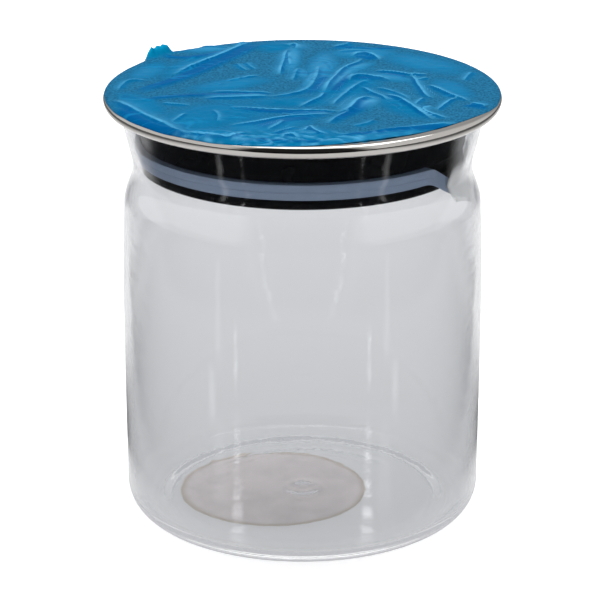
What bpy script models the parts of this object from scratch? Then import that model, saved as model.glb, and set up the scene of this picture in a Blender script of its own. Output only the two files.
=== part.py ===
"""Airtight glass canister: a turned borosilicate jar closed by a steel-capped plug lid with a silicone seal.

Units are metres and +Z is up. The origin is at the middle of the base, on the surface that the jar stands on.
"""

import math

import bmesh
import bpy
from mathutils import Vector

# Glass jar
BODY_RADIUS = 0.0500
SHOULDER_TAPER = 0.0007
FOOT_TAPER = 0.0003
JAR_HEIGHT = 0.1184
WALL = 0.0018
NECK_WALL = 0.0015
HEEL_RADIUS = 0.0082
FOOT_WIDTH = 0.0052
PUNT_DEPTH = 0.0015
PUNT_FILLET = 0.0012
BASE_THICKNESS = 0.0024
PONTIL_RADIUS = 0.0050
PONTIL_HEIGHT = 0.0007
SHOULDER_DROP = 0.0090
BULGE_HEIGHT_SHARE = 0.62

# Neck of the jar
SEAL_BORE_RADIUS = 0.0466
WAIST_STEP = 0.0016
WAIST_BELOW_PLUG = 0.0016
MOUTH_FLARE = 0.0022
LAND_ABOVE_SEAL = 0.0009
LAND_START_SHARE = 0.65

# Steel cap
CAP_OVERHANG = 0.0042
RIM_HEIGHT = 0.0028
CAP_SHEET = 0.0005
HEM_LENGTH = 0.0015

# Plug under the cap
PLUG_DEPTH = 0.0171
PLUG_CLEARANCE = 0.0032
PLUG_WALL = 0.0016
PLUG_PLATE = 0.0020
PLUG_FILLET = 0.0008
GROOVE_DEPTH = 0.0016
SEAL_HEIGHT = 0.0045
RIB_PAIRS = 4
RIB_THICKNESS = 0.0012
RIB_HEIGHT = 0.0060
HUB_RADIUS = 0.0080
POST_RADIUS = 0.0047
POST_HEIGHT = 0.0065
BASE_RIM_HEIGHT = 0.0027
BASE_FLOOR = 0.0016
BASE_EDGE_RADIUS = 0.0008
BASE_CLEARANCE = 0.0004
SPIGOT_HEIGHT = 0.0036

# Seal ring
SEAL_LIPS = 2
SEAL_VALLEY = 0.0006

# Protective film, base label and packing strip
FILM_THICKNESS = 0.0003
FILM_INSET = 0.0003
FILM_CREST_HEIGHT = 0.0045
FILM_CREST_SPREAD = 0.0042
LABEL_THICKNESS = 0.0003
LABEL_MARGIN = 0.0104
STRIP_THICKNESS = 0.00025
STRIP_TOP_DROP = 0.0040
STRIP_LENGTH = 0.0280
STRIP_SLANT_DROP = 0.0110

# Gap that parted pieces keep, and how far a cutter runs past what it cuts
CLEARANCE = 0.0003
OVERRUN = 0.0010
MERGE_DISTANCE = 0.00005

# Resolution of the turned pieces
TURN_STEPS = 56
FILM_RINGS = 13
FILM_SPOKES = 40
LABEL_SIDES = 48
SEAL_LIP_SIDES = 5
STRIP_FACETS = 5
STRIP_FIRST_FACET = -4

# Sizes that follow from the ones above
MOUTH_BORE_RADIUS = SEAL_BORE_RADIUS + MOUTH_FLARE
WAIST_BORE_RADIUS = SEAL_BORE_RADIUS - WAIST_STEP
CAP_RADIUS = MOUTH_BORE_RADIUS + NECK_WALL + CAP_OVERHANG
HEEL_CENTRE_RADIUS = BODY_RADIUS - FOOT_TAPER - HEEL_RADIUS
PUNT_RADIUS = HEEL_CENTRE_RADIUS - FOOT_WIDTH
FLOOR_Z = PUNT_DEPTH + BASE_THICKNESS
SEAT_Z = JAR_HEIGHT + CLEARANCE
PLUG_BOTTOM_Z = SEAT_Z - PLUG_DEPTH
SEAL_BOTTOM_Z = PLUG_BOTTOM_Z + BASE_RIM_HEIGHT + CLEARANCE
SEAL_TOP_Z = SEAL_BOTTOM_Z + SEAL_HEIGHT
WAIST_Z = PLUG_BOTTOM_Z - WAIST_BELOW_PLUG
SHOULDER_Z = WAIST_Z - SHOULDER_DROP
PLUG_RADIUS = SEAL_BORE_RADIUS - PLUG_CLEARANCE
GROOVE_RADIUS = PLUG_RADIUS - GROOVE_DEPTH
BASE_RADIUS = WAIST_BORE_RADIUS - BASE_CLEARANCE
RIM_RADIUS = RIM_HEIGHT / 2
RIM_CENTRE_RADIUS = CAP_RADIUS - RIM_RADIUS
FACET_ANGLE = math.tau / TURN_STEPS

# Heights in the lid, over the seat where the plug meets the mouth
PLUG_TOP = RIM_HEIGHT - CAP_SHEET - CLEARANCE
PLATE_BOTTOM = PLUG_TOP - PLUG_PLATE
GROOVE_TOP = SEAL_TOP_Z + CLEARANCE - SEAT_Z
PLUG_WALL_END = SEAL_BOTTOM_Z - SEAT_Z
BASE_FLOOR_TOP = BASE_FLOOR - PLUG_DEPTH
BASE_RIM_TOP = BASE_RIM_HEIGHT - PLUG_DEPTH
HUB_END = BASE_FLOOR_TOP + CLEARANCE

# Where the label's middle lies, in shares of its margin inside the punt
LABEL_OFFSET_SHARES = (-0.81, 0.34)

# Creases of the film, seen from above with the jar's front at the bottom. Each is a line of points in
# shares of the cap's radius, with its half width and its height in shares of the film's crest.
FILM_CREASE_SHARES = (
    (((-0.22, 0.90), (-0.36, 0.68), (-0.48, 0.46), (-0.62, 0.26), (-0.78, 0.06), (-0.90, -0.12)), 0.75, 0.30),
    (((0.12, 0.50), (0.13, 0.26), (0.09, 0.02), (-0.10, -0.06), (-0.42, -0.07), (-0.78, -0.16)), 0.65, 0.28),
    (((0.22, 0.44), (0.16, 0.14), (0.12, -0.10)), 0.50, 0.22),
    (((0.17, -0.36), (-0.10, -0.35), (-0.36, -0.31)), 0.50, 0.24),
    (((-0.34, -0.62), (-0.19, -0.58), (-0.02, -0.47), (0.17, -0.39), (0.25, -0.27), (0.36, -0.17)), 0.55, 0.26),
    (((-0.92, -0.20), (-0.64, -0.58), (-0.41, -0.80), (-0.27, -0.85)), 0.60, 0.26),
    (((0.28, -0.84), (0.50, -0.76), (0.73, -0.56)), 0.60, 0.26),
    (((0.56, 0.30), (0.60, 0.00), (0.64, -0.11)), 0.50, 0.20),
    (((0.36, -0.02), (0.52, -0.26), (0.64, -0.48)), 0.50, 0.20),
)

# Where the film stands up off the cap, as a line of points in shares of the cap's radius
FILM_CREST_SHARES = ((-0.76, 0.50), (-0.66, 0.64), (-0.54, 0.70))


def clear_scene():
    """Removes whatever the scene holds."""
    for old in list(bpy.data.objects):
        bpy.data.objects.remove(old, do_unlink=True)


def new_collection(name):
    """Gives a new collection in the scene."""
    group = bpy.data.collections.new(name)
    bpy.context.scene.collection.children.link(group)
    return group


def make_material(name, colour, roughness, metallic=0.0, transmission=0.0, ior=1.5):
    """Gives a Principled material of one colour."""
    mat = bpy.data.materials.new(name)
    mat.use_nodes = True
    shader = mat.node_tree.nodes["Principled BSDF"]
    shader.inputs["Base Color"].default_value = (*colour, 1.0)
    shader.inputs["Roughness"].default_value = roughness
    shader.inputs["Metallic"].default_value = metallic
    shader.inputs["Transmission Weight"].default_value = transmission
    shader.inputs["IOR"].default_value = ior
    mat.diffuse_color = (*colour, 1.0)
    return mat


def arc(centre_r, centre_z, radius, start, end, steps):
    """Points of an arc in the profile's plane, from one angle in degrees to another."""
    points = []
    for i in range(steps + 1):
        angle = math.radians(start + (end - start) * i / steps)
        points.append((centre_r + radius * math.cos(angle), centre_z + radius * math.sin(angle)))
    return points


def ease(share):
    """A share that leaves 0 and reaches 1 with no slope."""
    return share * share * (3 - 2 * share)


def neck_levels():
    """Heights where the wall runs upright, from the mouth down, each with its bore and its thickness."""
    side = BODY_RADIUS - WALL
    middle = HEEL_RADIUS + BULGE_HEIGHT_SHARE * (SHOULDER_Z - HEEL_RADIUS)
    return (
        (JAR_HEIGHT - NECK_WALL / 2, MOUTH_BORE_RADIUS, NECK_WALL, 3),
        (SEAL_TOP_Z + LAND_ABOVE_SEAL, SEAL_BORE_RADIUS, NECK_WALL, 1),
        (SEAL_BOTTOM_Z + LAND_START_SHARE * SEAL_HEIGHT, SEAL_BORE_RADIUS, NECK_WALL, 4),
        (WAIST_Z, WAIST_BORE_RADIUS, NECK_WALL, 4),
        (SHOULDER_Z, side - SHOULDER_TAPER, WALL, 2),
        (middle, side, WALL, 2),
        (FLOOR_Z + HEEL_RADIUS - WALL, side - FOOT_TAPER, WALL, 0),
    )


def wall_at(z):
    """The jar's bore and wall thickness at a height."""
    levels = neck_levels()
    for upper, lower in zip(levels, levels[1:]):
        if z >= lower[0]:
            share = ease(min(1.0, max(0.0, (upper[0] - z) / (upper[0] - lower[0]))))
            return tuple(a + (b - a) * share for a, b in zip(upper[1:3], lower[1:3]))
    return levels[-1][1:3]


def bore_at(z):
    """The jar's inner radius at a height."""
    return wall_at(z)[0]


def wall_heights():
    """Heights where the wall has a ring of points, from the mouth down."""
    levels = neck_levels()
    heights = []
    for upper, lower in zip(levels, levels[1:]):
        heights += [upper[0] + (lower[0] - upper[0]) * i / upper[3] for i in range(upper[3])]
    return heights + [levels[-1][0]]


def mesh_object(name, mesh, mat, group, parent=None):
    """Links a mesh into the scene under a name, with its material and its parent."""
    obj = bpy.data.objects.new(name, mesh)
    group.objects.link(obj)
    obj.data.materials.append(mat)
    if parent:
        obj.parent = parent
    return obj


def mesh_from(bm, name):
    """Gives a bmesh as a named mesh."""
    mesh = bpy.data.meshes.new(name)
    bm.to_mesh(mesh)
    bm.free()
    return mesh


def profile_mesh(name, points, closed):
    """A mesh of edges along a profile's points at +X."""
    bm = bmesh.new()
    verts = [bm.verts.new((r, 0.0, z)) for r, z in points]
    for a, b in zip(verts, verts[1:]):
        bm.edges.new((a, b))
    if closed:
        bm.edges.new((verts[-1], verts[0]))
    return mesh_from(bm, name)


def turn(obj, angle=math.tau, steps=TURN_STEPS):
    """Turns an object's profile about its own Z axis."""
    screw = obj.modifiers.new("Turn", "SCREW")
    screw.axis = "Z"
    screw.angle = angle
    screw.steps = steps
    screw.render_steps = steps
    screw.use_merge_vertices = angle == math.tau
    screw.merge_threshold = MERGE_DISTANCE
    screw.use_smooth_shade = True
    return obj


def turned_piece(name, points, mat, group, parent=None, closed=False):
    """A turned piece, from a profile that runs down its outer side."""
    return turn(mesh_object(name, profile_mesh(name, points, closed), mat, group, parent))


def cut_with(obj, cutter, operation="DIFFERENCE"):
    """Cuts or joins an object with a cutter, which is kept out of sight."""
    cutter.hide_render = True
    cutter.display_type = "WIRE"
    step = obj.modifiers.new(cutter.name, "BOOLEAN")
    step.operation = operation
    step.solver = "EXACT"
    step.object = cutter


def box_mesh(name, size, middle_z=0.0):
    """A box about the Z axis, with its middle at a height."""
    bm = bmesh.new()
    bmesh.ops.create_cube(bm, size=1.0)
    bmesh.ops.scale(bm, vec=Vector(size), verts=bm.verts)
    bmesh.ops.translate(bm, vec=(0.0, 0.0, middle_z), verts=bm.verts)
    return mesh_from(bm, name)


def disc_mesh(name, radius, depth, sides):
    """A disc or short cylinder about the Z axis, centred on its origin."""
    bm = bmesh.new()
    bmesh.ops.create_cone(bm, cap_ends=True, segments=sides, radius1=radius, radius2=radius, depth=depth)
    return mesh_from(bm, name)


def smooth_by_angle(obj, degrees=35):
    """Shades an object's mesh smooth, with its edges kept sharp past an angle."""
    obj.data.shade_smooth()
    obj.data.set_sharp_from_angle(angle=math.radians(degrees))


def jar_profile():
    """The jar's section: up the inside from the middle of its floor, over the mouth and down the outside."""
    heights = wall_heights()
    pontil = [(0.0, FLOOR_Z + PONTIL_HEIGHT)]
    for share in (0.35, 0.7, 1.0):
        pontil.append((share * PONTIL_RADIUS, FLOOR_Z + PONTIL_HEIGHT * (1 - ease(share))))
    inner_heel = HEEL_RADIUS - WALL
    floor_curve = arc(HEEL_CENTRE_RADIUS, FLOOR_Z + inner_heel, inner_heel, 270, 360, 5)
    inside = [(bore_at(z), z) for z in reversed(heights[1:-1])]
    lip = arc(MOUTH_BORE_RADIUS + NECK_WALL / 2, heights[0], NECK_WALL / 2, 180, 0, 5)
    outside = [(sum(wall_at(z)), z) for z in heights[1:-1]]
    heel = arc(HEEL_CENTRE_RADIUS, HEEL_RADIUS, HEEL_RADIUS, 0, -90, 6)
    punt = [(PUNT_RADIUS + PUNT_FILLET, 0.0)]
    punt += arc(PUNT_RADIUS, PUNT_DEPTH - PUNT_FILLET, PUNT_FILLET, 0, 90, 3)
    return pontil + floor_curve + inside + lip + outside + heel + punt + [(0.0, PUNT_DEPTH)]


def make_jar(group, parent):
    """The glass jar, with its waisted neck, rounded heel, foot ring and punt."""
    glass = make_material("borosilicate_glass", (0.93, 0.95, 0.95), 0.02, transmission=1.0, ior=1.47)
    return turned_piece("glass_jar", jar_profile(), glass, group, parent)


def make_label(group, parent):
    """The blank round label stuck under the glass, inside the punt."""
    paper = make_material("label_paper", (0.70, 0.66, 0.66), 0.8)
    disc = disc_mesh("base_label", PUNT_RADIUS - LABEL_MARGIN, LABEL_THICKNESS, LABEL_SIDES)
    label = mesh_object("base_label", disc, paper, group, parent)
    x, y = (share * LABEL_MARGIN for share in LABEL_OFFSET_SHARES)
    label.location = (x, y, PUNT_DEPTH - CLEARANCE - LABEL_THICKNESS / 2)
    return label


def bent_sheet(name, points, thickness, mat, group, parent, first_facet, facets):
    """A piece of even thickness that follows part of a turned surface, from the profile of its inner side."""
    sheet = mesh_object(name, profile_mesh(name, points, closed=False), mat, group, parent)
    sheet.rotation_euler.z = first_facet * FACET_ANGLE
    turn(sheet, facets * FACET_ANGLE, facets)
    shell = sheet.modifiers.new("Thickness", "SOLIDIFY")
    shell.thickness = thickness
    shell.offset = 1.0
    return sheet


def strip_inner_radius(z):
    """The inner radius of the packing strip, which lies on the bore."""
    return bore_at(z) - CLEARANCE - STRIP_THICKNESS


def make_strip(group, cutters, parent):
    """The thin packing strip between the seal and the glass, cut off aslant at its lower end."""
    film = make_material("strip_film", (0.80, 0.80, 0.80), 0.5, transmission=0.4)
    top = JAR_HEIGHT - STRIP_TOP_DROP
    bottom = top - STRIP_LENGTH
    heights = [z for z in wall_heights() if bottom + OVERRUN < z < top - OVERRUN]
    points = [(strip_inner_radius(z), z) for z in [top] + heights + [bottom]]
    facets = (STRIP_FIRST_FACET, STRIP_FACETS)
    strip = bent_sheet("packing_strip", points, STRIP_THICKNESS, film, group, parent, *facets)
    radius = bore_at(bottom)
    middle = (STRIP_FIRST_FACET + STRIP_FACETS / 2) * FACET_ANGLE
    width = 2 * radius * math.sin(STRIP_FACETS * FACET_ANGLE / 2)
    block = box_mesh("strip_slant", (width, 2 * width, width), -width / 2)
    slant = mesh_object("strip_slant", block, film, cutters, parent)
    slant.location = (radius * math.cos(middle), radius * math.sin(middle), bottom + STRIP_SLANT_DROP / 2)
    slant.rotation_euler = (-math.atan2(STRIP_SLANT_DROP, width), 0.0, middle)
    cut_with(strip, slant)
    return strip


def make_cap(group, parent):
    """The pressed steel cap, its edge rolled over and under the plug's flange."""
    steel = make_material("polished_steel", (0.72, 0.71, 0.69), 0.12, metallic=1.0)
    hem_end = RIM_CENTRE_RADIUS - HEM_LENGTH
    points = [(0.0, RIM_HEIGHT)]
    points += arc(RIM_CENTRE_RADIUS, RIM_RADIUS, RIM_RADIUS, 90, -90, 6)
    points += [(hem_end, 0.0), (hem_end, CAP_SHEET)]
    points += arc(RIM_CENTRE_RADIUS, RIM_RADIUS, RIM_RADIUS - CAP_SHEET, -90, 90, 4)
    points += [(0.0, RIM_HEIGHT - CAP_SHEET)]
    return turned_piece("steel_cap", points, steel, group, parent)


def plug_profile():
    """The plug's section: over its flange, down its wall and round its seal groove, and up the inside."""
    edge = RIM_RADIUS - CAP_SHEET - CLEARANCE
    land = RIM_CENTRE_RADIUS - HEM_LENGTH - CLEARANCE
    step = GROOVE_TOP + PLUG_WALL
    points = [(0.0, PLUG_TOP)]
    points += arc(RIM_CENTRE_RADIUS, RIM_RADIUS, edge, 90, -90, 4)
    points += [(land, RIM_RADIUS - edge), (land, 0.0)]
    points += arc(PLUG_RADIUS + PLUG_FILLET, -PLUG_FILLET, PLUG_FILLET, 90, 180, 3)
    points += [(PLUG_RADIUS, GROOVE_TOP), (GROOVE_RADIUS, GROOVE_TOP), (GROOVE_RADIUS, PLUG_WALL_END)]
    points += [(GROOVE_RADIUS - PLUG_WALL, PLUG_WALL_END), (GROOVE_RADIUS - PLUG_WALL, step)]
    points += [(PLUG_RADIUS - PLUG_WALL, step), (PLUG_RADIUS - PLUG_WALL, PLATE_BOTTOM)]
    points += [(HUB_RADIUS, PLATE_BOTTOM), (HUB_RADIUS, HUB_END), (0.0, HUB_END)]
    return points


def make_plug(group, cutters, parent):
    """The hollow black plug, with its ribs and its hub, which takes the post of the plug's base."""
    black = make_material("black_polypropylene", (0.012, 0.013, 0.016), 0.4)
    plug = turned_piece("lid_plug", plug_profile(), black, group, parent)
    span = 2 * PLUG_RADIUS - PLUG_WALL
    for i in range(RIB_PAIRS):
        name = f"rib_{i + 1}"
        bar = box_mesh(name, (span, RIB_THICKNESS, RIB_HEIGHT + PLUG_PLATE / 2))
        rib = mesh_object(name, bar, black, cutters, parent)
        rib.location.z = PLATE_BOTTOM + PLUG_PLATE / 4 - RIB_HEIGHT / 2
        rib.rotation_euler.z = math.pi * i / RIB_PAIRS + FACET_ANGLE / 2
        cut_with(plug, rib, "UNION")
    depth = POST_HEIGHT + OVERRUN
    bore = disc_mesh("hub_bore", POST_RADIUS + CLEARANCE, depth + OVERRUN, TURN_STEPS // 2)
    hub_bore = mesh_object("hub_bore", bore, black, cutters, parent)
    hub_bore.location.z = HUB_END + (depth - OVERRUN) / 2
    cut_with(plug, hub_bore)
    return plug


def make_plug_base(group, parent):
    """The plug's base: a floor with a post and a spigot, and the rim that holds the seal from below."""
    black = make_material("black_polypropylene_base", (0.010, 0.011, 0.014), 0.45)
    post_top = BASE_FLOOR_TOP + POST_HEIGHT
    spigot = GROOVE_RADIUS - PLUG_WALL - CLEARANCE
    spigot_top = BASE_RIM_TOP + SPIGOT_HEIGHT
    chamfer = BASE_EDGE_RADIUS / 2
    edge_centre = BASE_RADIUS - BASE_EDGE_RADIUS
    points = [(0.0, post_top), (POST_RADIUS - chamfer, post_top), (POST_RADIUS, post_top - chamfer)]
    points += [(POST_RADIUS, BASE_FLOOR_TOP), (spigot - PLUG_WALL, BASE_FLOOR_TOP)]
    points += [(spigot - PLUG_WALL, spigot_top), (spigot - chamfer, spigot_top)]
    points += [(spigot, spigot_top - chamfer), (spigot, BASE_RIM_TOP), (BASE_RADIUS, BASE_RIM_TOP)]
    points += arc(edge_centre, BASE_EDGE_RADIUS - PLUG_DEPTH, BASE_EDGE_RADIUS, 0, -90, 4)
    points += [(0.0, -PLUG_DEPTH)]
    return turned_piece("plug_base", points, black, group, parent)


def seal_face(share):
    """How far the seal's face is drawn back from its lips, at a share of its height."""
    return SEAL_VALLEY * (1 - abs(math.sin(SEAL_LIPS * math.pi * share)))


def make_seal(group, cutters, parent):
    """The silicone seal ring, with its lips, pressed flat where the packing strip passes."""
    silicone = make_material("blue_grey_silicone", (0.12, 0.15, 0.20), 0.5)
    sides = SEAL_LIP_SIDES * SEAL_LIPS
    heights = [SEAL_TOP_Z - SEAL_HEIGHT * i / sides for i in range(sides + 1)]
    points = []
    for i, z in enumerate(heights):
        points.append((bore_at(z) - CLEARANCE - seal_face(i / sides), z - SEAT_Z))
    inner = GROOVE_RADIUS + CLEARANCE
    points += [(inner, SEAL_BOTTOM_Z - SEAT_Z), (inner, SEAL_TOP_Z - SEAT_Z)]
    seal = turned_piece("seal_ring", points, silicone, group, parent, closed=True)
    heights = [SEAL_TOP_Z + OVERRUN] + heights + [SEAL_BOTTOM_Z - OVERRUN]
    pressed = [(strip_inner_radius(z) - CLEARANCE, z - SEAT_Z) for z in heights]
    facets = (STRIP_FIRST_FACET - 1, STRIP_FACETS + 2)
    press = bent_sheet("strip_press", pressed, PLUG_CLEARANCE, silicone, cutters, parent, *facets)
    cut_with(seal, press)
    return seal


def distance_to_line(x, y, line):
    """The shortest way from a place to a line of points."""
    best = math.inf
    for (ax, ay), (bx, by) in zip(line, line[1:]):
        dx, dy = bx - ax, by - ay
        share = ((x - ax) * dx + (y - ay) * dy) / (dx * dx + dy * dy)
        share = min(1.0, max(0.0, share))
        best = min(best, math.hypot(x - ax - share * dx, y - ay - share * dy))
    return best


def film_lift(x, y):
    """How high the film's creases and its crest raise it at a place on the cap."""
    place = (x / CAP_RADIUS, y / CAP_RADIUS)
    lift = 0.0
    for line, width_share, height_share in FILM_CREASE_SHARES:
        near = CAP_RADIUS * distance_to_line(*place, line) / (width_share * FILM_CREST_SPREAD)
        lift = max(lift, height_share * FILM_CREST_HEIGHT * math.exp(-near * near))
    near = CAP_RADIUS * distance_to_line(*place, FILM_CREST_SHARES) / FILM_CREST_SPREAD
    return max(lift, FILM_CREST_HEIGHT * math.exp(-near * near))


def cap_top(radius):
    """The height of the cap's upper surface over its rim's middle, at a radius."""
    past = max(0.0, radius - RIM_CENTRE_RADIUS)
    return math.sqrt(max(0.0, RIM_RADIUS * RIM_RADIUS - past * past))


def make_film(group, parent):
    """The creased protective film on the cap."""
    blue = make_material("blue_film", (0.02, 0.20, 0.42), 0.25)
    radii = [RIM_CENTRE_RADIUS * i / FILM_RINGS for i in range(FILM_RINGS + 1)]
    radii.append(CAP_RADIUS - FILM_INSET)
    bm = bmesh.new()
    line = [bm.verts.new((radius, 0.0, 0.0)) for radius in radii]
    edges = [bm.edges.new(pair) for pair in zip(line, line[1:])]
    bmesh.ops.spin(
        bm, geom=line + edges, axis=(0, 0, 1), cent=(0, 0, 0), angle=math.tau, steps=FILM_SPOKES, use_merge=True
    )
    bmesh.ops.remove_doubles(bm, verts=bm.verts, dist=MERGE_DISTANCE)
    bmesh.ops.recalc_face_normals(bm, faces=bm.faces)
    bm.normal_update()
    if sum(face.normal.z for face in bm.faces) < 0:
        bmesh.ops.reverse_faces(bm, faces=bm.faces)
    for vert in bm.verts:
        x, y = vert.co.x, vert.co.y
        vert.co.z = cap_top(math.hypot(x, y)) - RIM_RADIUS + film_lift(x, y)
    film = mesh_object("protective_film", mesh_from(bm, "protective_film"), blue, group, parent)
    shell = film.modifiers.new("Thickness", "SOLIDIFY")
    shell.thickness = FILM_THICKNESS
    shell.offset = 1.0
    smooth_by_angle(film)
    return film


def even_shading(group):
    """Keeps the flat faces of the turned pieces flat to the light beside their rounded edges."""
    for obj in group.objects:
        if obj.type == "MESH":
            obj.modifiers.new("Shading", "WEIGHTED_NORMAL")


def make_empty(name, group, height):
    """A pivot on the jar's axis."""
    empty = bpy.data.objects.new(name, None)
    group.objects.link(empty)
    empty.location.z = height
    return empty


def main():
    clear_scene()
    group = new_collection("airtight_jar")
    cutters = new_collection("airtight_jar_cutters")
    jar = make_empty("jar_frame", group, 0.0)
    lid = make_empty("lid_frame", group, SEAT_Z)
    film = make_empty("film_frame", group, RIM_HEIGHT + CLEARANCE)
    lid.parent = jar
    film.parent = lid
    make_jar(group, jar)
    make_label(group, jar)
    make_strip(group, cutters, jar)
    make_cap(group, lid)
    make_plug(group, cutters, lid)
    make_plug_base(group, lid)
    make_seal(group, cutters, lid)
    make_film(group, film)
    even_shading(group)


main()
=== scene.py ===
"""Airtight glass canister with a plug lid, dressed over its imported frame, on a pale studio floor.

Units are metres and +Z is up. The jar stands on the origin, and its front looks along -Y.
"""

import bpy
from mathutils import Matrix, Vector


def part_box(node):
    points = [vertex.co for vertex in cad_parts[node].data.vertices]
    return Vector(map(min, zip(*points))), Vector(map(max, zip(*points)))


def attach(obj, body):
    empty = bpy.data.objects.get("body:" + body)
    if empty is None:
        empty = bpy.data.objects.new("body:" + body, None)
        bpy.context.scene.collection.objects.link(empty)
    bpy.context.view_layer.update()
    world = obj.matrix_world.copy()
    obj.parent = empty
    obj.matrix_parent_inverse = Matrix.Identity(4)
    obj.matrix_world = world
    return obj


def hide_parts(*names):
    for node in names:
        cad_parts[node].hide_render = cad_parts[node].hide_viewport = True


bl_info = {
    "name": "Airtight jar",
    "version": (1, 0, 0),
    "blender": (4, 5, 0),
    "location": "View3D > Sidebar > Jar",
    "description": "Glass jar with a steel-capped plug lid, its packaging and a small studio",
    "category": "Object",
}

import math
from functools import partial

import bmesh
import bpy
import numpy as np
from bpy.props import FloatProperty, FloatVectorProperty, PointerProperty
from mathutils import Matrix, Vector, noise

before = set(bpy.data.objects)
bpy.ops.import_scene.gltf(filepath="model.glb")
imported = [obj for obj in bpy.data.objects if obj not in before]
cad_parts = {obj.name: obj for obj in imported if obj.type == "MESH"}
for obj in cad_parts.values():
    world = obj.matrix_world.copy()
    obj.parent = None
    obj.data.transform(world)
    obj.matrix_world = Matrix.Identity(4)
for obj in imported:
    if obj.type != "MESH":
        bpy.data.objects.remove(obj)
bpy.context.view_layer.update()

MM = 0.001
TURN_STEPS = 192
LABEL_STEPS = 144
CAP_STEPS = 256
FILM_STEPS = 440
MERGE_DISTANCE = 0.01 * MM

# Places of a Mix node's sockets: its share, then its two numbers or its two colours
SHARE, FIRST, SECOND, UNDER, OVER = 0, 2, 3, 6, 7

# Sizes from here to the film's lines are in millimetres and degrees.
# Levels of the jar's wall from the mouth down, joined by a smooth curve: height, bore, wall
WALL_LEVELS = (
    (117.65, 48.8, 1.5),
    (108.5, 46.7, 1.5),
    (101.0, 45.2, 1.5),
    (91.0, 47.5, 1.8),
    (59.54, 48.2, 1.8),
    (7.7, 47.9, 1.8),
)

# The rest of the jar's section. The inside's heel ends where its upright wall starts
FLOOR_Z = 3.9
PUNT_Z = 1.5
INNER_HEEL = WALL_LEVELS[-1][0] - FLOOR_Z
OUTER_HEEL = 8.2
FOOT_RADIUS = 41.0
PUNT_RADIUS = 35.8
PLUNGER_RING = 28.8

# How much nearer to the front the label is stuck than its solid
LABEL_SHIFT = 1.3

# The packing strip: its gap to the glass, where it ends round the neck, and its left edge as heights and
# turns. Its foot is at a height on the left and slants down to the right
STRIP_GAP = 0.17
STRIP_END = 3.0
STRIP_EDGE = ((96.5, 102.0, 109.0, 114.4), (-28.5, -33.0, -31.0, -28.5))
STRIP_FOOT = 96.2
STRIP_SLANT = 7.0

# The steel cap, and how much deeper its rolled edge is below its middle than above
CAP_TOP = 121.5
CAP_SHEET = 0.5
RIM_CENTRE = 53.1
RIM_Z = 120.1
RIM_RADIUS = 1.4
RIM_DEEPER = 1.4

# The plug's section from its wall's foot round the seal's groove and up the inside to its hub
PLUG_SECTION = (
    (44.9, 109.4), (41.8, 109.4), (41.8, 104.6), (40.2, 104.6), (40.2, 111.0), (41.8, 111.0),
    (41.8, 116.7), (8.0, 116.7), (8.0, 103.5), (5.0, 103.5), (5.0, 110.7), (0.0, 110.7),
)

# The plug's crossing ribs: length, thickness and height, their middle's height, and how far they are turned
RIB_SIZE = (84.6, 1.2, 7.0)
RIB_Z = 114.2
RIB_TURN = 360 / 112

# The base's section down its post, over its spigot, round its rim and back under it, and its rounded corners
BASE_SECTION = (
    (0.0, 109.7), (4.7, 109.7), (4.7, 103.2), (38.3, 103.2), (38.3, 107.9), (39.9, 107.9), (39.9, 104.3),
    (44.6, 104.3), (44.6, 101.6), (30.0, 101.6), (29.5, 101.9), (12.0, 101.9), (11.5, 101.6), (0.0, 101.6),
)
BASE_ROUNDS = ((1, 0.4), (5, 0.3), (7, 0.35), (8, 0.8), (3, 0.3))

# The seal: its gap to the glass, its back, the depth of the valley between its lips, how far the strip has
# dragged it down, and the radius that the strip has pressed it to
SEAL_GAP = 0.3
SEAL_BACK = 42.1
SEAL_VALLEY = 0.22
SEAL_DRAG = 6.4
SEAL_PRESSED = 44.64

# The film: its widest cut, its gap to the steel, its highest place over the steel, and how high its torn-up
# corner would stand without its rumples
FILM_RADIUS = 54.3
FILM_GAP = 0.06
FILM_HIGHEST = 4.6
FLAP_HEIGHT = 3.2

# Half width of a ridge whose two lines are drawn as wide as fold_lines says. A wider ridge has wider lines
PLAIN_RIDGE = 0.7

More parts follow.
